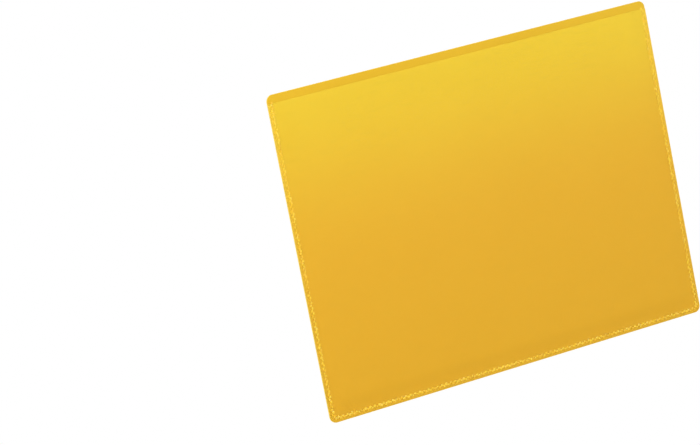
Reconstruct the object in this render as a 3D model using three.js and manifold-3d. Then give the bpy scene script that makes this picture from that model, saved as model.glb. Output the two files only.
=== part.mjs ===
import * as THREE from 'three';
import { mergeVertices } from 'three/addons/utils/BufferGeometryUtils.js';
import Module from 'manifold-3d';

// Document pocket for one A5 sheet held landscape, fixed to a wall by two strips on its back.
// Millimetres, +Z up. The front faces -Y, and the plane Y = 0 is the wall.
// The origin is the centre of the upper strip's outer face.

// Outline shared by the two plastic sheets
const POCKET_WIDTH = 223;
const POCKET_HEIGHT = 163;
const CORNER_RADIUS = 3.5;
const CORNER_SEGMENTS = 8;

// Back sheet
const BACK_THICKNESS = 0.5;

// Front film, lower than the back sheet so that a sheet can be slid in behind its edge
const FILM_THICKNESS = 0.25;
const FILM_TOP_DROP = 4;
const FILM_TOP_RADIUS = 1;

// Seam on three sides, with a pressed weld line in it
const SEAM_WIDTH = 3.25;
const WELD_INSET = 2.5;
const WELD_WIDTH = 1;
const WELD_DEPTH = 0.125;

// Room for the document, where the film lifts off the back sheet in a soft ramp
const POCKET_DEPTH = 0.5;
const RAMP_WIDTH = 8;
const RAMP_SEGMENTS = 8;

// Fixing strips and the layer that bonds each of them to the back sheet
const STRIP_LENGTH = 196;
const STRIP_HEIGHT = 15;
const STRIP_THICKNESS = 1.5;
const ADHESIVE_THICKNESS = 0.125;
const UPPER_STRIP_TOP_GAP = 14.5;
const LOWER_STRIP_BOTTOM_GAP = 13.5;
const UPPER_STRIP_SKEW = 1.5;

// How far a cutter runs past the face that it opens
const CUT_OVERRUN = 1;

// Places worked out from the sizes above
const FILM_HEIGHT = POCKET_HEIGHT - FILM_TOP_DROP;
const POCKET_BOTTOM_Z = STRIP_HEIGHT / 2 + UPPER_STRIP_TOP_GAP - POCKET_HEIGHT;
const UPPER_STRIP_BOTTOM_Z = -STRIP_HEIGHT / 2;
const LOWER_STRIP_BOTTOM_Z = POCKET_BOTTOM_Z + LOWER_STRIP_BOTTOM_GAP;
const ADHESIVE_BACK_Y = -STRIP_THICKNESS;
const BACK_SHEET_BACK_Y = ADHESIVE_BACK_Y - ADHESIVE_THICKNESS;
const FILM_BACK_Y = BACK_SHEET_BACK_Y - BACK_THICKNESS;

const materials = {
  yellowSheet: new THREE.MeshStandardMaterial({ color: 0xe9b834, roughness: 0.4, metalness: 0 }),
  clearFilm: new THREE.MeshStandardMaterial({ color: 0xf4d05a, roughness: 0.15, metalness: 0 }),
  blackStrip: new THREE.MeshStandardMaterial({ color: 0x192021, roughness: 0.7, metalness: 0 }),
  adhesive: new THREE.MeshStandardMaterial({ color: 0xd8d4c4, roughness: 0.6, metalness: 0 }),
};

const wasm = await Module();
wasm.setup();

function toSolid(geometry) {
  const bare = geometry.clone();
  bare.deleteAttribute('normal');
  bare.deleteAttribute('uv');
  const merged = mergeVertices(bare, 1e-5);
  const mesh = new wasm.Mesh({
    numProp: 3,
    vertProperties: new Float32Array(merged.attributes.position.array),
    triVerts: new Uint32Array(merged.index.array),
  });
  return new wasm.Manifold(mesh);
}

function toGeometry(solid) {
  const { vertProperties, triVerts } = solid.getMesh();
  const geometry = new THREE.BufferGeometry();
  geometry.setAttribute('position', new THREE.BufferAttribute(new Float32Array(vertProperties), 3));
  geometry.setIndex(new THREE.BufferAttribute(new Uint32Array(triVerts), 1));
  geometry.computeVertexNormals();
  return geometry;
}

// Every outline is drawn as the front view shows it, x to the right and y up.
// Its plate grows along local z, which faces the viewer.
function plate(shape, thickness) {
  return new THREE.ExtrudeGeometry(shape, {
    depth: thickness,
    bevelEnabled: false,
    curveSegments: CORNER_SEGMENTS,
  });
}

// Rectangle centred on x, from bottom to top, with its own radius at the upper and lower corners
function roundedOutline(width, bottom, top, topRadius, bottomRadius) {
  const half = width / 2;
  const shape = new THREE.Shape();
  shape.moveTo(-half + bottomRadius, bottom);
  shape.lineTo(half - bottomRadius, bottom);
  shape.absarc(half - bottomRadius, bottom + bottomRadius, bottomRadius, -Math.PI / 2, 0);
  shape.lineTo(half, top - topRadius);
  shape.absarc(half - topRadius, top - topRadius, topRadius, 0, Math.PI / 2);
  shape.lineTo(-half + topRadius, top);
  shape.absarc(-half + topRadius, top - topRadius, topRadius, Math.PI / 2, Math.PI);
  shape.lineTo(-half, bottom + bottomRadius);
  shape.absarc(-half + bottomRadius, bottom + bottomRadius, bottomRadius, Math.PI, Math.PI * 1.5);
  return shape;
}

function backSheetGeometry() {
  const outline = roundedOutline(POCKET_WIDTH, 0, POCKET_HEIGHT, CORNER_RADIUS, CORNER_RADIUS);
  return plate(outline, BACK_THICKNESS);
}

// Body under the lifted film: the overlap of a section across the width and a section up the height,
// each rising over its ramp to the full height. The mouth side has no ramp.
function liftedBody(base, foot, rise, topEdge) {
  const half = POCKET_WIDTH / 2 - SEAM_WIDTH;
  const crest = foot + rise;

  const across = new THREE.Shape();
  across.moveTo(-half, base);
  across.lineTo(half, base);
  across.lineTo(half, foot);
  across.bezierCurveTo(half - RAMP_WIDTH / 2, foot, half - RAMP_WIDTH / 2, crest, half - RAMP_WIDTH, crest);
  across.lineTo(-half + RAMP_WIDTH, crest);
  across.bezierCurveTo(-half + RAMP_WIDTH / 2, crest, -half + RAMP_WIDTH / 2, foot, -half, foot);

  const rampMiddle = SEAM_WIDTH + RAMP_WIDTH / 2;
  const upright = new THREE.Shape();
  upright.moveTo(SEAM_WIDTH, base);
  upright.lineTo(topEdge, base);
  upright.lineTo(topEdge, crest);
  upright.lineTo(SEAM_WIDTH + RAMP_WIDTH, crest);
  upright.bezierCurveTo(rampMiddle, crest, rampMiddle, foot, SEAM_WIDTH, foot);

  const settings = { bevelEnabled: false, curveSegments: RAMP_SEGMENTS };
  const acrossBody = new THREE.ExtrudeGeometry(across, { ...settings, depth: topEdge });
  acrossBody.rotateX(Math.PI / 2);
  acrossBody.translate(0, topEdge, 0);
  const uprightBody = new THREE.ExtrudeGeometry(upright, { ...settings, depth: 2 * half });
  uprightBody.rotateX(Math.PI / 2);
  uprightBody.rotateZ(Math.PI / 2);
  uprightBody.translate(-half, 0, 0);
  return toSolid(acrossBody).intersect(toSolid(uprightBody));
}

// Cutter for the weld line: a frame that follows the seam and runs out over the film's top edge
function weldCutter() {
  const outerInset = WELD_INSET - WELD_WIDTH / 2;
  const innerInset = WELD_INSET + WELD_WIDTH / 2;
  const rounding = (inset) => Math.max(CORNER_RADIUS - inset, WELD_WIDTH);
  const outline = (inset, top) => roundedOutline(
    POCKET_WIDTH - 2 * inset, inset, top, rounding(inset), rounding(inset),
  );
  const innerTop = FILM_HEIGHT + CORNER_RADIUS + CUT_OVERRUN;
  const frame = outline(outerInset, innerTop + CUT_OVERRUN);
  frame.holes.push(outline(innerInset, innerTop));
  const cutter = plate(frame, WELD_DEPTH + CUT_OVERRUN);
  cutter.translate(0, 0, FILM_THICKNESS - WELD_DEPTH);
  return toSolid(cutter);
}

function frontSheetGeometry() {
  const outline = roundedOutline(POCKET_WIDTH, 0, FILM_HEIGHT, FILM_TOP_RADIUS, CORNER_RADIUS);
  const flange = toSolid(plate(outline, FILM_THICKNESS));
  const lifted = liftedBody(0, FILM_THICKNESS, POCKET_DEPTH, FILM_HEIGHT);
  const room = liftedBody(-CUT_OVERRUN, 0, POCKET_DEPTH, FILM_HEIGHT + CUT_OVERRUN);
  return toGeometry(flange.add(lifted).subtract(room).subtract(weldCutter()));
}

// Strip with a square left end and, at the right one, a foot that stops short by the skew
function stripGeometry(thickness, skew) {
  const half = STRIP_LENGTH / 2;
  const outline = new THREE.Shape();
  outline.moveTo(-half, 0);
  outline.lineTo(half - skew, 0);
  outline.lineTo(half, STRIP_HEIGHT);
  outline.lineTo(-half, STRIP_HEIGHT);
  return plate(outline, thickness);
}

// Stands a front-view geometry upright with its back face at backY and its foot at bottomZ
function stand(name, geometry, material, backY, bottomZ) {
  geometry.rotateX(Math.PI / 2);
  const mesh = new THREE.Mesh(geometry, material);
  mesh.name = name;
  mesh.position.set(0, backY, bottomZ);
  return mesh;
}

const group = new THREE.Group();
group.add(
  stand('back_sheet', backSheetGeometry(), materials.yellowSheet, BACK_SHEET_BACK_Y, POCKET_BOTTOM_Z),
  stand('front_sheet', frontSheetGeometry(), materials.clearFilm, FILM_BACK_Y, POCKET_BOTTOM_Z),
);

const strips = [
  { name: 'upper_strip', bottomZ: UPPER_STRIP_BOTTOM_Z, skew: UPPER_STRIP_SKEW },
  { name: 'lower_strip', bottomZ: LOWER_STRIP_BOTTOM_Z, skew: 0 },
];
for (const { name, bottomZ, skew } of strips) {
  const strip = stripGeometry(STRIP_THICKNESS, skew);
  const layer = stripGeometry(ADHESIVE_THICKNESS, skew);
  group.add(
    stand(name, strip, materials.blackStrip, 0, bottomZ),
    stand(`${name}_adhesive`, layer, materials.adhesive, ADHESIVE_BACK_Y, bottomZ),
  );
}

export default group;
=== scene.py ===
import math

import bmesh
import bpy
from mathutils import Matrix, Vector


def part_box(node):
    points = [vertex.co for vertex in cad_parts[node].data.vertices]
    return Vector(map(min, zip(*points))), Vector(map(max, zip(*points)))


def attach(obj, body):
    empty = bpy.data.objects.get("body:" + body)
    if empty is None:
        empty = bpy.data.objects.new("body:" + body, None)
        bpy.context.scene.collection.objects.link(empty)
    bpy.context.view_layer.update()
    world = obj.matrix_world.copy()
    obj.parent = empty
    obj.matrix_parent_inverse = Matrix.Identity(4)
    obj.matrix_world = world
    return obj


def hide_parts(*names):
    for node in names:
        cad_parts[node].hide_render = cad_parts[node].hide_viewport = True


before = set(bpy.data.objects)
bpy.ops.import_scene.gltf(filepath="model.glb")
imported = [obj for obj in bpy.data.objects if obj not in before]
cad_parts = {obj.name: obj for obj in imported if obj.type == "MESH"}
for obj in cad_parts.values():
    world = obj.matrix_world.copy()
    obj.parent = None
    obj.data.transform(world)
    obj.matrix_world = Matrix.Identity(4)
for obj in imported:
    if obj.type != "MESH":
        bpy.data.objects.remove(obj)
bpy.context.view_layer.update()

# Document pocket: a yellow plastic back sheet, a clear film welded to its front along three sides,
# and two black fixing strips on its back. Metres, +Z up, front towards -Y, wall at Y = 0.
MM = 0.001

# Where the construction puts the sheet and the film
BACK_LOW, BACK_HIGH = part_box("back_sheet")
FILM_LOW, FILM_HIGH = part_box("front_sheet")
POCKET_WIDTH = BACK_HIGH.x - BACK_LOW.x
POCKET_HEIGHT = BACK_HIGH.z - BACK_LOW.z
POCKET_MIDDLE = (BACK_LOW + BACK_HIGH) / 2
BACK_THICKNESS = BACK_HIGH.y - BACK_LOW.y
SHEET_FRONT_Y = BACK_LOW.y

# The pocket's own shape, as the construction has it
CORNER_RADIUS = 3.5 * MM
FILM_TOP_RADIUS = 1 * MM
FILM_THICKNESS = 0.25 * MM
SEAM_WIDTH = 3.25 * MM
WELD_INSET = 2.5 * MM
WELD_WIDTH = 1 * MM
RAMP_WIDTH = 8 * MM
WINDOW_INSET = SEAM_WIDTH + RAMP_WIDTH
POCKET_DEPTH = (FILM_HIGH.y - FILM_LOW.y) - FILM_THICKNESS
UPPER_STRIP_SKEW = 1.5 * MM

# Rounded edges of the yellow sheet and of the strips
SHEET_EDGE_ROUND = 0.16 * MM
SHEET_EDGE_SUPPORT = 4 * SHEET_EDGE_ROUND
SHEET_LEAST_CORNER = 0.2 * MM
STRIP_EDGE_ROUND = 0.18 * MM
STRIP_EDGE_STEPS = 3
STRIP_EDGE_FULLNESS = 0.6
SMOOTH_UP_TO = math.radians(35)
STRIP_SMOOTH_UP_TO = math.radians(40)

# The film's rim: (inset, how far the inner face rises, how far the outer face drops)
FILM_SEAT = 0.015 * MM
FILM_RIM_ROUND = [
    (0.0, 0.08 * MM, 0.1 * MM),
    (0.03 * MM, 0.0, 0.04 * MM),
    (0.09 * MM, 0.0, 0.01 * MM),
    (0.16 * MM, 0.0, 0.0),
]
CUT_FACE_WIDTH = 0.09 * MM
RIM_SOLID = 0.5 * MM
RIM_FADE = 2.2 * MM
FLANGE_INSETS = [RIM_SOLID, FILM_TOP_RADIUS, 1.6 * MM]

# Corner radius of the film's stations at each inset from its edge
FILM_CORNERS = [
    (0, CORNER_RADIUS),
    (WELD_INSET, 1.3 * MM),
    (SEAM_WIDTH, 1.5 * MM),
    (WINDOW_INSET, 4.5 * MM),
]

# How the lifted film stands off: a gape at the mouth, and two crossing ripples,
# each as (wavelength across, wavelength upwards, phase, share)
MOUTH_GAPE = 0.35 * MM
GAPE_POWER_ACROSS = 1.5
GAPE_POWER_UP = 2
MOUTH_EDGE_ROUND = 0.4 * FILM_THICKNESS
FILM_RIPPLE = 0.05 * MM
SLOW_RIPPLE = (0.083, 0.19, 0.6, 1.0)
QUICK_RIPPLE = (0.051, -0.074, 2.1, 0.5)
RIPPLE_START = 4

# Pressed weld line and the teeth in it
WELD_DEPTH = 0.11 * MM
WELD_SHOULDER = 0.05 * MM
TEETH_INSET = 2.15 * MM
TOOTH_SIZES = {
    "Pitch": 1.3 * MM,
    "Stagger": 0.3 * MM,
    "Radius": 0.9 * MM,
    "Height": 0.13 * MM,
}
TOOTH_SIDES = 4
TOOTH_TOP_SHARE = 0.4
TOOTH_SEAT = 0.01 * MM
TOOTH_LEAST_SCALE = (0.7, 0.7, 0.4)
TOOTH_MOST_SCALE = (1.3, 1.1, 1.2)
TOOTH_SCALE_SEED = 7
TOOTH_LEAST_TWIST = (-0.12, -0.12, -0.6)
TOOTH_MOST_TWIST = (0.12, 0.12, 0.6)
TOOTH_TWIST_SEED = 11
PAINTED_GLINT_SEED = 5

# How finely each outline is drawn
SHEET_CORNER_STEPS = 14
SHEET_EDGE_STEPS = 4
SIDE_STEPS = 74
CORNER_STEPS = 10
FOOT_STEPS = 104
RAMP_STEPS = 14

# Shares of the way down the film's side. They crowd at the mouth, where its edge is rounded.
MOUTH_SHARES = [0.0, 0.0002, 0.0005, 0.001, 0.003]
REST = 1 - MOUTH_SHARES[-1]
SIDE_SHARES = [*MOUTH_SHARES]
SIDE_SHARES += [MOUTH_SHARES[-1] + REST * step / SIDE_STEPS for step in range(1, SIDE_STEPS + 1)]


def rgba(red, green, blue):
    return (red, green, blue, 1)


# Between these heights the sheet and the film change from the colour of the foot to that of the head:
# painted sheen, with the head painted lighter and more lemon
SHEEN_PAINT_LOW_Z = BACK_HIGH.z - 95 * MM
SHEEN_PAINT_HIGH_Z = BACK_HIGH.z

# Yellow sheet, front and back. The foot colours are painted shade: darker and more orange than the head,
# which takes the painted sheen
YELLOW_DEEP = rgba(0.744, 0.416, 0.0113)
YELLOW_LIGHT = rgba(0.774, 0.446, 0.0153)
YELLOW_SHADED_FOOT = rgba(0.76, 0.393, 0.0125)
BACK_DEEP = rgba(0.775, 0.405, 0.021)
BACK_LIGHT = rgba(0.8, 0.427, 0.027)
BACK_SHADED_FOOT = rgba(0.787, 0.408, 0.0235)
SHEET_SHINE = rgba(0.7, 1.0, 0.3)
SHEET_CLOUD_RANGE = (0.3, 0.7)
SHEET_ROUGHNESS = 0.36
SHEET_SCUFFING = 0.14
SHEET_WAVE = 0.06 * MM
SHEET_GRAIN = 0.003 * MM

# Die-cut edge of the yellow sheet, painted paler than its faces: painted highlight for the light the
# edge catches
EDGE_PAINTED_LIT_DEEP = rgba(0.88, 0.58, 0.04)
EDGE_PAINTED_LIT_PALE = rgba(0.96, 0.74, 0.12)
EDGE_ROUGHNESS = 0.45
EDGE_ROUGHER = 0.2
EDGE_BITE = 0.01 * MM

# Clear film. Its colour goes from orange at the foot to lemon at the head, and its cover grows upwards:
# painted sheen, added to the lamp's real reflection in it
FILM_FOOT = rgba(0.8, 0.47, 0.05)
FILM_PAINTED_SHEEN = rgba(0.77, 0.68, 0.04)
FILM_RIM = rgba(0.88, 0.64, 0.03)
FILM_MIRROR = 0.6
RIM_MIRROR = 0.3
FILM_ROUGHNESS = 0.24
FILM_HAIRLINES = 0.06
FILM_WAVE = 0.04 * MM
FILM_PEEL = 0.001 * MM
COVER_LEAST = 0.05
COVER_MOST = 0.105
COVER_RIM = 0.12
COVER_CLOUDS = 0.01
COVER_GRAZING = 0.6
GRAZING_POWER = 5

# Cut edge of the film
FILM_EDGE_DEEP = rgba(0.95, 0.66, 0.05)
FILM_EDGE_LIGHT = rgba(1.0, 0.82, 0.16)
FILM_EDGE_ROUGHNESS = 0.25
FILM_EDGE_ROUGHER = 0.2
FILM_EDGE_COVER = 0.7
FILM_EDGE_DENSER = 0.25
FILM_EDGE_IOR = 1.6

# Teeth of the weld: paler than the sheet, partly the pressed weld's own look and partly painted
# highlight, with painted glints on some teeth
WELD_DEEP = rgba(0.88, 0.525, 0.018)
WELD_PAINTED_GLINT = rgba(0.92, 0.61, 0.033)
WELD_RUNS = 0.5
WELD_RUN_RANGE = (0.4, 0.6)
WELD_PAINTED_GLINT_RANGE = (0.45, 0.9)
WELD_ROUGHNESS = 0.3
WELD_POLISH = 0.14
WELD_IOR = 1.38

# Black strips and the layer that bonds them
STRIP_DEEP = rgba(0.0042, 0.0085, 0.0085)
STRIP_LIGHT = rgba(0.0068, 0.0118, 0.0118)
STRIP_ROUGHNESS = 0.55
STRIP_CLOUDING = 0.12
STRIP_LINING = 0.08
STRIP_SHEEN = 0.07
STRIP_GRAIN = 0.012 * MM
STRIP_DRAW_LINE = 0.008 * MM
BOND_DEEP = rgba(0.5, 0.48, 0.4)
BOND_LIGHT = rgba(0.66, 0.64, 0.55)
BOND_ROUGHNESS = 0.5
BOND_ROUGHER = 0.2

# Studio: floor, even light, and soft lamps as (name, place, width, height, brightness)
WHITE = rgba(1, 1, 1)
FLOOR_PALE = rgba(0.9, 0.9, 0.89)
FLOOR_ROUGHNESS = 0.6
FLOOR_ROUGHER = 0.1
FLOOR_DROP = 0.36
FLOOR_RADIUS = 1.3
FLOOR_SIDES = 96
FLOOR_FADE_START = 0.45 * FLOOR_RADIUS
FLOOR_FADE_END = 0.97 * FLOOR_RADIUS
AMBIENT = 0.5
SOFT_LAMPS = [
    ("key_softbox", (-0.75, -0.5, 0.42), 0.6, 0.6, 5.1),
    ("sheen_softbox", (0.7, -1.35, -0.02), 1.6, 0.45, 2.5),
    ("back_softbox", (0.7, 1.0, 0.6), 0.8, 0.8, 5.4),
]

# The camera, worked out from the pocket's four corners in the 700 x 445 photograph
CAMERA_PLACE = Vector((-0.907, -1.5265, 0.1961))
CAMERA_HEADING = math.radians(28.49)
CAMERA_DROP = math.radians(8.01)
CAMERA_ROLL = math.radians(11.18)
FOCAL_PIXELS = 3608
IMAGE_WIDTH_PIXELS = 700
SENSOR_WIDTH_MM = 36


class Value:
    """A socket in a node tree. Arithmetic on it adds Math nodes."""

    def __init__(self, tree, socket):
        self.tree = tree
        self.socket = socket

    def __add__(self, other):
        return self.tree.maths("ADD", self, other)

    def __radd__(self, other):
        return self.tree.maths("ADD", other, self)

    def __sub__(self, other):
        return self.tree.maths("SUBTRACT", self, other)

    def __rsub__(self, other):
        return self.tree.maths("SUBTRACT", other, self)

    def __mul__(self, other):
        return self.tree.maths("MULTIPLY", self, other)

    def __rmul__(self, other):
        return self.tree.maths("MULTIPLY", other, self)


class NodeTree:
    """Adds nodes to one tree: a type, its settings, and the values or links of its sockets."""

    def __init__(self, tree):
        self.tree = tree
        tree.nodes.clear()

    def node(self, kind, settings=None, inputs=None, output=0):
        made = self.tree.nodes.new(kind)
        for name, setting in (settings or {}).items():
            setattr(made, name, setting)
        for name, given in (inputs or {}).items():
            if isinstance(given, Value):
                self.tree.links.new(given.socket, made.inputs[name])
            else:
                made.inputs[name].default_value = given
        return Value(self, made.outputs[output]) if made.outputs else made

    def other(self, value, output):
        """Another output of the node that value comes from."""
        return Value(self, value.socket.node.outputs[output])

    def maths(self, operation, first, second):
        return self.node("ShaderNodeMath", {"operation": operation}, {0: first, 1: second})

    def smooth(self, value, low, high):
        """0 up to low, 1 from high, and a soft step between them."""
        step = {"interpolation_type": "SMOOTHSTEP"}
        return self.node("ShaderNodeMapRange", step, {0: value, 1: low, 2: high})

    def blend(self, factor, first, second):
        mix = {"data_type": "RGBA"}
        return self.node("ShaderNodeMix", mix, {0: factor, 6: first, 7: second}, output=2)

    def attribute(self, name):
        return self.node("ShaderNodeAttribute", {"attribute_name": name}, output="Fac")

    def relief(self, height):
        """Normal of a surface that stands out by height, in metres."""
        inputs = {"Strength": 1.0, "Distance": 1.0, "Height": height}
        return self.node("ShaderNodeBump", inputs=inputs)

    def plastic(self, inputs):
        return self.node("ShaderNodeBsdfPrincipled", inputs=inputs)

    def over(self, factor, under, upper):
        """The upper shader over the under one, as far as factor says."""
        return self.node("ShaderNodeMixShader", inputs={0: factor, 1: under, 2: upper})


def new_material(name):
    """A material, its tree, and the Object coordinates that its patterns read."""
    material = bpy.data.materials.new(name)
    material.use_nodes = True
    tree = NodeTree(material.node_tree)
    return material, tree, tree.node("ShaderNodeTexCoord", output="Object")


def finish_material(tree, shader):
    tree.node("ShaderNodeOutputMaterial", inputs={"Surface": shader})


def noise(tree, place, scale, detail, roughness=0.5, stretch=None):
    """Noise on Object coordinates. scale is in features per metre."""
    if stretch:
        place = tree.node("ShaderNodeMapping", inputs={"Vector": place, "Scale": stretch})
    inputs = {"Vector": place, "Scale": scale, "Detail": detail, "Roughness": roughness}
    return tree.node("ShaderNodeTexNoise", inputs=inputs)


def painted_sheen_up_the_pocket(tree, place):
    """Mask of the painted sheen: 0 in the lower part of the pocket, rising softly to 1 at its top edge.
    """
    height = tree.other(tree.node("ShaderNodeSeparateXYZ", inputs={"Vector": place}), "Z")
    return tree.smooth(height, SHEEN_PAINT_LOW_Z, SHEEN_PAINT_HIGH_Z)


def yellow_sheet_material(name, deep, light, foot):
    """Satin yellow sheet: cloudy, painted darker and more orange at the foot as painted shade, with a
    fine grain and slow waves.
    """
    material, tree, place = new_material(name)
    clouds = noise(tree, place, scale=14, detail=4)
    grain = noise(tree, place, scale=2600, detail=1)
    scuffs = noise(tree, place, scale=90, detail=6, roughness=0.7, stretch=(1, 1, 6))
    waves = noise(tree, place, scale=22, detail=1)
    cloudy = tree.blend(tree.smooth(clouds, *SHEET_CLOUD_RANGE), deep, light)
    shader = tree.plastic({
        # Painted shade and sheen: the foot colour low down, the lighter cloudy colour towards the head
        "Base Color": tree.blend(painted_sheen_up_the_pocket(tree, place), foot, cloudy),
        "Roughness": SHEET_ROUGHNESS + SHEET_SCUFFING * scuffs,
        "Specular Tint": SHEET_SHINE,
        "Normal": tree.relief(waves * SHEET_WAVE + grain * SHEET_GRAIN),
    })
    finish_material(tree, shader)
    return material


def cut_edge_material():
    """Edge where the yellow sheet was die cut: rougher than its faces, and painted paler as a painted
    highlight.
    """
    material, tree, place = new_material("yellow_cut_edge")
    bite = noise(tree, place, scale=1800, detail=3)
    shader = tree.plastic({
        # Painted highlight: the edge colours are paler than the sheet's faces
        "Base Color": tree.blend(bite, EDGE_PAINTED_LIT_DEEP, EDGE_PAINTED_LIT_PALE),
        "Roughness": EDGE_ROUGHNESS + EDGE_ROUGHER * bite,
        "Normal": tree.relief(bite * EDGE_BITE),
    })
    finish_material(tree, shader)
    return material


def clear_film_material():
    """Clear glossy film: a thin tinted gloss over nothing, denser at the rim and at a grazing look, and
    painted lemon and denser towards the top as painted sheen.
    """
    material, tree, place = new_material("clear_film")
    rim = tree.attribute("rim")
    clouds = noise(tree, place, scale=9, detail=2)
    hairlines = noise(tree, place, scale=160, detail=5, roughness=0.75, stretch=(1, 1, 9))
    waves = noise(tree, place, scale=26, detail=1)
    peel = noise(tree, place, scale=420, detail=2)
    # Painted sheen: the film is tinted lemon and its gloss made denser towards the top
    rise = painted_sheen_up_the_pocket(tree, place)
    gloss = tree.plastic({
        "Base Color": tree.blend(rim, tree.blend(rise, FILM_FOOT, FILM_PAINTED_SHEEN), FILM_RIM),
        "Metallic": FILM_MIRROR + (RIM_MIRROR - FILM_MIRROR) * rim,
        "Roughness": FILM_ROUGHNESS + FILM_HAIRLINES * hairlines,
        "Normal": tree.relief(waves * FILM_WAVE + peel * FILM_PEEL),
    })
    facing = tree.node("ShaderNodeLayerWeight", inputs={"Blend": 0.5}, output="Facing")
    grazing = tree.maths("POWER", facing, GRAZING_POWER)
    # The cover is denser towards the top, as part of the painted sheen
    cover = COVER_LEAST + (COVER_MOST - COVER_LEAST) * rise + COVER_RIM * rim
    cover = cover + COVER_CLOUDS * clouds + COVER_GRAZING * grazing
    clear = tree.node("ShaderNodeBsdfTransparent")
    finish_material(tree, tree.over(cover, clear, gloss))
    return material


def film_edge_material():
    """Cut edge of the film, which carries light and looks brighter than its faces."""
    material, tree, place = new_material("film_cut_edge")
    bite = noise(tree, place, scale=900, detail=3)
    shader = tree.plastic({
        "Base Color": tree.blend(bite, FILM_EDGE_DEEP, FILM_EDGE_LIGHT),
        "Roughness": FILM_EDGE_ROUGHNESS + FILM_EDGE_ROUGHER * bite,
        "IOR": FILM_EDGE_IOR,
        "Alpha": FILM_EDGE_COVER + FILM_EDGE_DENSER * bite,
    })
    finish_material(tree, shader)
    return material


def weld_material():
    """The pressed teeth of the weld line: glossy, with painted glints on some of them, and more of them
    in short runs.
    """
    material, tree, place = new_material("pressed_weld")
    runs = tree.smooth(noise(tree, place, scale=120, detail=2), *WELD_RUN_RANGE)
    # Painted glints: chosen teeth and short runs are painted lighter, and made glossier
    painted_glints = tree.smooth(tree.attribute("painted_glint") + WELD_RUNS * runs, *WELD_PAINTED_GLINT_RANGE)
    shader = tree.plastic({
        "Base Color": tree.blend(painted_glints, WELD_DEEP, WELD_PAINTED_GLINT),
        "Roughness": WELD_ROUGHNESS - WELD_POLISH * painted_glints,
        "IOR": WELD_IOR,
    })
    finish_material(tree, shader)
    return material


def black_strip_material():
    """Satin black strip with a fine grain and faint draw lines along its length."""
    material, tree, place = new_material("black_strip")
    clouds = noise(tree, place, scale=35, detail=4)
    grain = noise(tree, place, scale=2200, detail=2)
    draw_lines = noise(tree, place, scale=900, detail=2, stretch=(0.02, 1, 1))
    shader = tree.plastic({
        "Base Color": tree.blend(clouds, STRIP_DEEP, STRIP_LIGHT),
        "Roughness": STRIP_ROUGHNESS + STRIP_CLOUDING * clouds + STRIP_LINING * draw_lines,
        "Specular IOR Level": STRIP_SHEEN,
        "Normal": tree.relief(grain * STRIP_GRAIN + draw_lines * STRIP_DRAW_LINE),
    })
    finish_material(tree, shader)
    return material


def bonding_material():
    """Milky bonding layer, seen only as a line along the strips."""
    material, tree, place = new_material("bonding_layer")
    patches = noise(tree, place, scale=300, detail=3)
    shader = tree.plastic({
        "Base Color": tree.blend(patches, BOND_DEEP, BOND_LIGHT),
        "Roughness": BOND_ROUGHNESS + BOND_ROUGHER * patches,
    })
    finish_material(tree, shader)
    return material


def new_object(name, data):
    made = bpy.data.objects.new(name, data)
    bpy.context.scene.collection.objects.link(made)
    return made


def mesh_piece(name, vertices, faces, materials):
    """A piece from its vertices and from (vertex numbers, material number) faces, facing outwards."""
    mesh = bpy.data.meshes.new(name)
    mesh.from_pydata(vertices, [], [corners for corners, _ in faces])
    for material in materials:
        mesh.materials.append(material)
    for polygon, (_, slot) in zip(mesh.polygons, faces):
        polygon.material_index = slot
        polygon.use_smooth = True
    shell = bmesh.new()
    shell.from_mesh(mesh)
    bmesh.ops.recalc_face_normals(shell, faces=shell.faces)
    shell.to_mesh(mesh)
    shell.free()
    mesh.set_sharp_from_angle(angle=SMOOTH_UP_TO)
    return new_object(name, mesh)


def arc(centre_x, centre_z, radius, start_degrees, end_degrees, steps):
    """Points of an arc in the front view, both ends included."""
    points = []
    for step in range(steps + 1):
        angle = math.radians(start_degrees + (end_degrees - start_degrees) * step / steps)
        points.append((centre_x + radius * math.cos(angle), centre_z + radius * math.sin(angle)))
    return points


def sheet_outline(inset):
    """Outline of the yellow sheet in the front view, drawn inwards by inset."""
    half = POCKET_WIDTH / 2 - inset
    low = BACK_LOW.z + inset
    high = BACK_LOW.z + POCKET_HEIGHT - inset
    turn = max(CORNER_RADIUS - inset, SHEET_LEAST_CORNER)
    right, left = half - turn, -half + turn
    return (
        arc(right, low + turn, turn, -90, 0, SHEET_CORNER_STEPS)
        + arc(right, high - turn, turn, 0, 90, SHEET_CORNER_STEPS)
        + arc(left, high - turn, turn, 90, 180, SHEET_CORNER_STEPS)
        + arc(left, low + turn, turn, 180, 270, SHEET_CORNER_STEPS)
    )


def sheet_edge_profile():
    """(inset, depth) pairs round the sheet's cut edge, from its front face to its back face."""
    front = []
    for step in range(SHEET_EDGE_STEPS + 1):
        angle = math.pi / 2 * step / SHEET_EDGE_STEPS
        inset = SHEET_EDGE_ROUND * (1 - math.sin(angle))
        depth = SHEET_EDGE_ROUND * (1 - math.cos(angle))
        front.append((inset, depth))
    back = [(inset, BACK_THICKNESS - depth) for inset, depth in reversed(front)]
    return front + back


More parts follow.
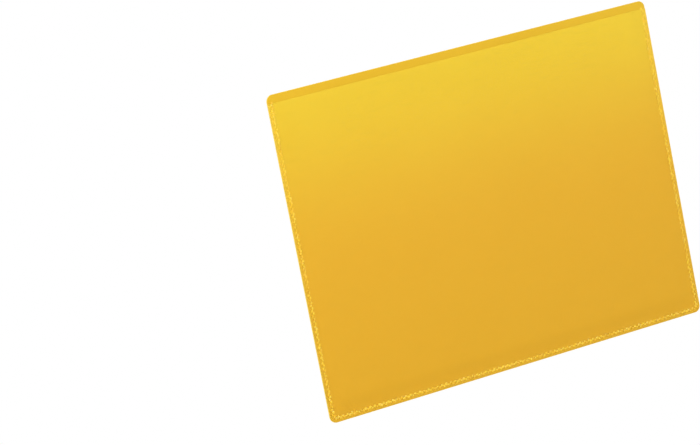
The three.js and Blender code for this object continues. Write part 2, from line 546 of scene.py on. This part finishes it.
def back_sheet(front_material, back_material, edge_material):
    """Yellow sheet with die-cut, slightly rounded edges."""
    rings = [
        (SHEET_EDGE_SUPPORT, 0.0),
        *sheet_edge_profile(),
        (SHEET_EDGE_SUPPORT, BACK_THICKNESS),
    ]
    vertices = []
    for inset, depth in rings:
        outline = sheet_outline(inset)
        vertices += [(x, SHEET_FRONT_Y + depth, z) for x, z in outline]
    count = len(outline)
    last = len(rings) - 1
    front, back, edge = 0, 1, 2
    faces = [(tuple(range(count)), front)]
    for ring, slot in enumerate([front, *[edge] * (last - 2), back]):
        a, b = ring * count, (ring + 1) * count
        for here in range(count):
            there = (here + 1) % count
            faces.append(((a + here, a + there, b + there, b + here), slot))
    faces.append((tuple(range(last * count, (last + 1) * count)), back))
    materials = [front_material, back_material, edge_material]
    return mesh_piece("yellow_back_sheet", vertices, faces, materials)


def between(value, pairs):
    """Straight-line value at a place in a list of (place, value) pairs."""
    for (low, at_low), (high, at_high) in zip(pairs, pairs[1:]):
        if value <= high:
            return at_low + (at_high - at_low) * (value - low) / (high - low)
    return pairs[-1][1]


def smoothstep(value):
    value = min(max(value, 0.0), 1.0)
    return value * value * (3 - 2 * value)


def film_ring(inset):
    """Stations down the left side, along the foot and up the right side, drawn inwards by inset."""
    half = POCKET_WIDTH / 2 - inset
    low = FILM_LOW.z + inset
    turn = between(inset, FILM_CORNERS)
    missing = max(FILM_TOP_RADIUS - inset, 0.0)
    high = FILM_HIGH.z - FILM_TOP_RADIUS + math.sqrt(FILM_TOP_RADIUS**2 - missing**2)
    side = [(-half, high + (low + turn - high) * share) for share in SIDE_SHARES]
    corner = arc(-half + turn, low + turn, turn, 180, 270, CORNER_STEPS)[1:]
    foot = []
    for step in range(1, FOOT_STEPS // 2 + 1):
        foot.append((-half + turn + (half - turn) * step / (FOOT_STEPS // 2), low))
    left_half = side + corner + foot
    return left_half + [(-x, z) for x, z in reversed(left_half[:-1])]


def film_profile():
    """(inset, inner height, outer height, swell) rows of the film, from its edge inwards.

    Heights are above the yellow sheet. Swell is the share of the gape and ripple that a row takes.
    """
    inner = FILM_SEAT
    top = FILM_THICKNESS
    pressed = top - WELD_DEPTH
    weld_out = WELD_INSET - WELD_WIDTH / 2
    weld_in = WELD_INSET + WELD_WIDTH / 2
    rows = [(inset, inner + rise, top - drop, 0.0) for inset, rise, drop in FILM_RIM_ROUND]
    rows += [(inset, inner, top, 0.0) for inset in FLANGE_INSETS]
    rows += [
        (weld_out - WELD_SHOULDER, inner, top, 0.0),
        (weld_out + WELD_SHOULDER, inner, pressed, 0.0),
        (WELD_INSET, inner, pressed, 0.0),
        (weld_in - WELD_SHOULDER, inner, pressed, 0.0),
        (weld_in + WELD_SHOULDER, inner, top, 0.0),
        (SEAM_WIDTH, inner, top, 0.0),
    ]
    for step in range(1, RAMP_STEPS + 1):
        share = step / RAMP_STEPS
        swell = smoothstep(share)
        rise = POCKET_DEPTH * swell
        rows.append((SEAM_WIDTH + RAMP_WIDTH * share, inner + rise, top + rise, swell))
    return rows


def ripple(x, z, wave):
    across, upwards, phase, share = wave
    return share * math.sin(2 * math.pi * (x / across + z / upwards) + phase)


def film_swell(x, z):
    """How much further the lifted film stands out: it gapes at the mouth and ripples a little."""
    half = POCKET_WIDTH / 2 - SEAM_WIDTH
    foot = FILM_LOW.z + SEAM_WIDTH
    across = max(1 - (x / half) ** 2, 0.0)
    up = min(max((z - foot) / (FILM_HIGH.z - foot), 0.0), 1.0)
    gape = MOUTH_GAPE * across**GAPE_POWER_ACROSS * up**GAPE_POWER_UP
    free = across**2 * smoothstep(RIPPLE_START * up)
    return gape + FILM_RIPPLE * free * (ripple(x, z, SLOW_RIPPLE) + ripple(x, z, QUICK_RIPPLE))


def mouth_rounding(z):
    """How far each face of the film draws in close to its upper edge."""
    missing = max(MOUTH_EDGE_ROUND - (FILM_HIGH.z - z), 0.0)
    return MOUTH_EDGE_ROUND - math.sqrt(MOUTH_EDGE_ROUND**2 - missing**2)


def film_vertices(profile):
    """The film's vertices, how close each is to the rim, and the numbers of those on the outer face.

    The numbers come as rings along the seam and as rows across the window. The vertex behind
    an outer one, on the inner face, has the next number.
    """
    vertices, rims = [], []

    def add(x, z, inner, outer, swell, rim):
        further = film_swell(x, z) * swell
        draw = mouth_rounding(z)
        vertices.append((x, SHEET_FRONT_Y - (outer + further - draw), z))
        vertices.append((x, SHEET_FRONT_Y - (inner + further + draw), z))
        rims.extend((rim, rim))
        return len(vertices) - 2

    seam = []
    for inset, inner, outer, swell in profile:
        ring = film_ring(inset)
        rim = 1 - smoothstep((inset - RIM_SOLID) / (RIM_FADE - RIM_SOLID))
        seam.append([add(x, z, inner, outer, swell, rim) for x, z in ring])

    foot_start = len(SIDE_SHARES) - 1 + CORNER_STEPS
    columns = [x for x, _ in ring[foot_start:foot_start + FOOT_STEPS + 1]]
    window = []
    for row, (_, z) in enumerate(ring[:len(SIDE_SHARES)]):
        inside = [add(x, z, inner, outer, swell, 0.0) for x in columns]
        window.append([seam[-1][row], *inside, seam[-1][-1 - row]])
    return vertices, rims, seam, window


def film_faces(profile, seam, window):
    """Faces on both sides of the film, over the seam's rings and the window's rows, and of its edge."""
    faces = []
    film, cut = 0, 1

    def both_sides(corners, slot=film):
        faces.append((corners, slot))
        faces.append((tuple(corner + 1 for corner in reversed(corners)), slot))

    for (inset, _, _, _), outer, inner in zip(profile[1:], seam, seam[1:]):
        slot = cut if inset <= CUT_FACE_WIDTH else film
        for here in range(len(outer) - 1):
            both_sides((outer[here], outer[here + 1], inner[here + 1], inner[here]), slot)

    for upper, lower in zip(window, window[1:]):
        for here in range(len(upper) - 1):
            both_sides((upper[here], lower[here], lower[here + 1], upper[here + 1]))

    inner_ring = seam[-1]
    side_end = len(SIDE_SHARES) - 1
    foot_start = side_end + CORNER_STEPS
    foot_end = foot_start + FOOT_STEPS
    last_row = window[-1][1:-1]
    foot = inner_ring[foot_start:foot_end + 1]
    for here in range(FOOT_STEPS):
        both_sides((last_row[here], foot[here], foot[here + 1], last_row[here + 1]))
    left_arc = inner_ring[side_end:foot_start + 1]
    right_arc = inner_ring[foot_end:foot_end + CORNER_STEPS + 1]
    for here in range(CORNER_STEPS):
        both_sides((last_row[0], left_arc[here], left_arc[here + 1]))
        both_sides((last_row[-1], right_arc[here], right_arc[here + 1]))

    left_mouth = [ring[0] for ring in seam[:-1]]
    right_mouth = [ring[-1] for ring in seam[-2::-1]]
    mouth = left_mouth + window[0] + right_mouth
    edge = seam[0] + mouth[::-1][1:-1]
    for here, there in zip(edge, edge[1:] + edge[:1]):
        faces.append(((here, here + 1, there + 1, there), cut))
    return faces


def front_film(film_material, edge_material):
    """The film. Each vertex keeps how close it is to the fused rim, for the material."""
    profile = film_profile()
    vertices, rims, seam, window = film_vertices(profile)
    faces = film_faces(profile, seam, window)
    piece = mesh_piece("clear_front_film", vertices, faces, [film_material, edge_material])
    attribute = piece.data.attributes.new("rim", "FLOAT", "POINT")
    attribute.data.foreach_set("value", rims)
    return piece


def weld_path():
    """The line that the teeth follow, as a chain of edges: x across and y up from the film's foot."""
    points = [(x, z - FILM_LOW.z, 0.0) for x, z in film_ring(TEETH_INSET)]
    mesh = bpy.data.meshes.new("weld_path")
    mesh.from_pydata(points, [(here, here + 1) for here in range(len(points) - 1)], [])
    return new_object("weld_path", mesh)


def weld_teeth_sockets(group):
    """The group's inputs, which are the path, the teeth's sizes and their place, and its output."""
    sockets = group.interface
    sockets.new_socket("Geometry", in_out="INPUT", socket_type="NodeSocketGeometry")
    for name in TOOTH_SIZES:
        sockets.new_socket(name, in_out="INPUT", socket_type="NodeSocketFloat")
    sockets.new_socket("Place", in_out="INPUT", socket_type="NodeSocketVector")
    sockets.new_socket("Geometry", in_out="OUTPUT", socket_type="NodeSocketGeometry")


def random_values(tree, kind, inputs, output=0):
    return tree.node("FunctionNodeRandomValue", {"data_type": kind}, inputs, output)


def zigzag_points(tree, path, along, pitch, stagger):
    """Points a pitch apart along the path, set off to one side of it and the other by turns."""
    chain = tree.node(
        "GeometryNodeResampleCurve",
        {"mode": "LENGTH"},
        {"Curve": path, "Length": pitch},
    )
    across = tree.node(
        "ShaderNodeVectorMath",
        {"operation": "CROSS_PRODUCT"},
        {0: along, 1: (0, 0, 1)},
    )
    odd = tree.maths("MODULO", tree.node("GeometryNodeInputIndex"), 2)
    step = tree.node(
        "ShaderNodeVectorMath",
        {"operation": "SCALE"},
        {0: across, "Scale": (2 * odd - 1) * stagger},
    )
    return tree.node("GeometryNodeSetPosition", inputs={"Geometry": chain, "Offset": step})


def uneven_teeth(tree, points, tooth, along):
    """A tooth on each point, turned along the path, squeezed and tilted in its own way, with its own
    random share of painted glints.
    """
    turned = tree.node(
        "FunctionNodeAlignRotationToVector",
        {"axis": "X", "pivot_axis": "Z"},
        {"Vector": along},
    )
    scales = {0: TOOTH_LEAST_SCALE, 1: TOOTH_MOST_SCALE, "Seed": TOOTH_SCALE_SEED}
    squeeze = random_values(tree, "FLOAT_VECTOR", scales)
    twists = {0: TOOTH_LEAST_TWIST, 1: TOOTH_MOST_TWIST, "Seed": TOOTH_TWIST_SEED}
    twist = random_values(tree, "FLOAT_VECTOR", twists)
    # Painted glints: a random share for each tooth, which the weld's colour reads
    painted_glint = random_values(tree, "FLOAT", {2: 0.0, 3: 1.0, "Seed": PAINTED_GLINT_SEED}, output=1)
    teeth = tree.node(
        "GeometryNodeInstanceOnPoints",
        inputs={"Points": points, "Instance": tooth, "Rotation": turned, "Scale": squeeze},
    )
    teeth = tree.node("GeometryNodeRotateInstances", inputs={"Instances": teeth, "Rotation": twist})
    return tree.node(
        "GeometryNodeStoreNamedAttribute",
        {"data_type": "FLOAT", "domain": "INSTANCE"},
        {"Geometry": teeth, "Name": "painted_glint", "Value": painted_glint},
    )


def weld_teeth_group(material):
    """Blunt four-sided teeth in a zigzag along a path, each a little different, facing the front."""
    group = bpy.data.node_groups.new("weld_teeth", "GeometryNodeTree")
    weld_teeth_sockets(group)
    tree = NodeTree(group)
    given = tree.node("NodeGroupInput")
    path = tree.node("GeometryNodeMeshToCurve", inputs={"Mesh": given})
    along = tree.node("GeometryNodeInputTangent")
    pitch = tree.other(given, "Pitch")
    stagger = tree.other(given, "Stagger")
    points = zigzag_points(tree, path, along, pitch, stagger)
    radius = tree.other(given, "Radius")
    tooth = tree.node(
        "GeometryNodeMeshCone",
        {"fill_type": "NGON"},
        {
            "Vertices": TOOTH_SIDES,
            "Radius Top": radius * TOOTH_TOP_SHARE,
            "Radius Bottom": radius,
            "Depth": tree.other(given, "Height"),
        },
    )
    teeth = uneven_teeth(tree, points, tooth, along)
    solid = tree.node("GeometryNodeRealizeInstances", inputs={"Geometry": teeth})
    stood = tree.node(
        "GeometryNodeTransform",
        inputs={
            "Geometry": solid,
            "Translation": tree.other(given, "Place"),
            "Rotation": (math.pi / 2, 0, 0),
        },
    )
    finished = tree.node("GeometryNodeSetMaterial", inputs={"Geometry": stood, "Material": material})
    tree.node("NodeGroupOutput", inputs={"Geometry": finished})
    return group


def weld_teeth(material):
    """The pressed pattern in the weld line, as a plain mesh."""
    carrier = weld_path()
    group = weld_teeth_group(material)
    modifier = carrier.modifiers.new("weld_teeth", "NODES")
    modifier.node_group = group
    floor_y = SHEET_FRONT_Y - (FILM_THICKNESS - WELD_DEPTH) + TOOTH_SEAT
    given = {**TOOTH_SIZES, "Place": (0.0, floor_y, FILM_LOW.z)}
    for item in group.interface.items_tree:
        if item.in_out == "INPUT" and item.name in given:
            modifier[item.identifier] = given[item.name]
    bpy.context.view_layer.update()
    evaluated = carrier.evaluated_get(bpy.context.evaluated_depsgraph_get())
    mesh = bpy.data.meshes.new_from_object(evaluated)
    carrier.modifiers.remove(modifier)
    bpy.data.objects.remove(carrier)
    return new_object("weld_teeth", mesh)


def fixing_strip(node, skew, material):
    """Black strip with lightly rounded cut edges. Its right end, seen from the front, may be skewed."""
    low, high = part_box(node)
    outline = [(low.x, low.z), (high.x - skew, low.z), (high.x, high.z), (low.x, high.z)]
    vertices = [(x, y, z) for y in (low.y, high.y) for x, z in outline]
    faces = [((0, 1, 2, 3), 0), ((7, 6, 5, 4), 0)]
    for here in range(4):
        there = (here + 1) % 4
        faces.append(((here, here + 4, there + 4, there), 0))
    piece = mesh_piece(f"black_{node}", vertices, faces, [material])
    shell = bmesh.new()
    shell.from_mesh(piece.data)
    bmesh.ops.bevel(
        shell,
        geom=list(shell.edges),
        offset=STRIP_EDGE_ROUND,
        segments=STRIP_EDGE_STEPS,
        profile=STRIP_EDGE_FULLNESS,
        affect="EDGES",
    )
    for face in shell.faces:
        face.smooth = True
    shell.to_mesh(piece.data)
    shell.free()
    piece.data.set_sharp_from_angle(angle=STRIP_SMOOTH_UP_TO)
    return piece


def dress_pocket():
    """Makes every visible piece and puts it on the pocket's one body."""
    film_material = clear_film_material()
    front_finish = yellow_sheet_material("yellow_sheet_front", YELLOW_DEEP, YELLOW_LIGHT, YELLOW_SHADED_FOOT)
    back_finish = yellow_sheet_material("yellow_sheet_back", BACK_DEEP, BACK_LIGHT, BACK_SHADED_FOOT)
    sheet = back_sheet(front_finish, back_finish, cut_edge_material())
    film = front_film(film_material, film_edge_material())
    teeth = weld_teeth(weld_material())
    strip_material = black_strip_material()
    upper = fixing_strip("upper_strip", UPPER_STRIP_SKEW, strip_material)
    lower = fixing_strip("lower_strip", 0.0, strip_material)
    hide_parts("back_sheet")
    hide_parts("front_sheet")
    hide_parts("upper_strip")
    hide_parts("lower_strip")
    for piece in (sheet, film, teeth, upper, lower):
        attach(piece, "root")
    bonding = bonding_material()
    for node in ("upper_strip_adhesive", "lower_strip_adhesive"):
        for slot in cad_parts[node].material_slots:
            slot.material = bonding


def seen_directly(tree):
    """1 for rays from the camera, and for rays that a glossy or clear surface passes on."""
    camera = tree.node("ShaderNodeLightPath", output="Is Camera Ray")
    glossy = tree.other(camera, "Is Glossy Ray")
    through = tree.other(camera, "Is Transmission Ray")
    return tree.maths("MAXIMUM", tree.maths("MAXIMUM", camera, glossy), through)


def studio_floor():
    """Pale round floor well below the pocket. It fades to the white of the surroundings at its rim."""
    material, tree, place = new_material("studio_floor")
    from_middle = tree.node("ShaderNodeVectorMath", {"operation": "LENGTH"}, {0: place}, "Value")
    speckle = noise(tree, place, scale=60, detail=2)
    pale = tree.plastic({
        "Base Color": FLOOR_PALE,
        "Roughness": FLOOR_ROUGHNESS + FLOOR_ROUGHER * speckle,
    })
    white = tree.node("ShaderNodeEmission", inputs={"Color": WHITE, "Strength": 1.0})
    fade = tree.smooth(from_middle, FLOOR_FADE_START, FLOOR_FADE_END)
    finish_material(tree, tree.over(fade * seen_directly(tree), pale, white))
    mesh = bpy.data.meshes.new("studio_floor")
    disc = bmesh.new()
    bmesh.ops.create_circle(disc, cap_ends=True, segments=FLOOR_SIDES, radius=FLOOR_RADIUS)
    disc.to_mesh(mesh)
    disc.free()
    mesh.materials.append(material)
    floor = new_object("studio_floor", mesh)
    floor.location = (POCKET_MIDDLE.x, POCKET_MIDDLE.y, BACK_LOW.z - FLOOR_DROP)


def surroundings():
    """White studio: white to the eye and in reflections, and a soft even light on the pocket."""
    world = bpy.data.worlds.new("studio")
    world.use_nodes = True
    bpy.context.scene.world = world
    tree = NodeTree(world.node_tree)
    strength = AMBIENT + (1 - AMBIENT) * seen_directly(tree)
    light = tree.node("ShaderNodeBackground", inputs={"Color": WHITE, "Strength": strength})
    tree.node("ShaderNodeOutputWorld", inputs={"Surface": light})


def soft_lamp(name, place, width, height, brightness):
    """Soft lamp turned towards the pocket's middle, and never in the picture itself."""
    lamp = bpy.data.lights.new(name, "AREA")
    lamp.shape = "RECTANGLE"
    lamp.size = width
    lamp.size_y = height
    lamp.energy = brightness * math.pi * width * height
    made = new_object(name, lamp)
    made.location = place
    made.rotation_mode = "QUATERNION"
    made.rotation_quaternion = (Vector(place) - POCKET_MIDDLE).to_track_quat("Z", "Y")
    made.visible_camera = False


def studio_lights():
    """Key from the upper left, a wide lamp that the film mirrors in its upper half, and one behind."""
    for lamp in SOFT_LAMPS:
        soft_lamp(*lamp)


def studio_camera():
    """Camera at the photograph's place, turned by its heading, its drop and its roll."""
    ahead = Vector((
        math.sin(CAMERA_HEADING) * math.cos(CAMERA_DROP),
        math.cos(CAMERA_HEADING) * math.cos(CAMERA_DROP),
        -math.sin(CAMERA_DROP),
    ))
    level_right = ahead.cross(Vector((0, 0, 1))).normalized()
    level_up = level_right.cross(ahead)
    up = level_up * math.cos(CAMERA_ROLL) + level_right * math.sin(CAMERA_ROLL)
    right = ahead.cross(up)
    lens = bpy.data.cameras.new("studio_camera")
    lens.sensor_width = SENSOR_WIDTH_MM
    lens.lens = FOCAL_PIXELS / IMAGE_WIDTH_PIXELS * SENSOR_WIDTH_MM
    camera = new_object("studio_camera", lens)
    turn = Matrix((right, up, -ahead)).transposed()
    camera.matrix_world = Matrix.Translation(CAMERA_PLACE) @ turn.to_4x4()
    bpy.context.scene.camera = camera


studio_camera()
dress_pocket()
studio_floor()
surroundings()
studio_lights()
bpy.context.scene.view_settings.view_transform = "Standard"
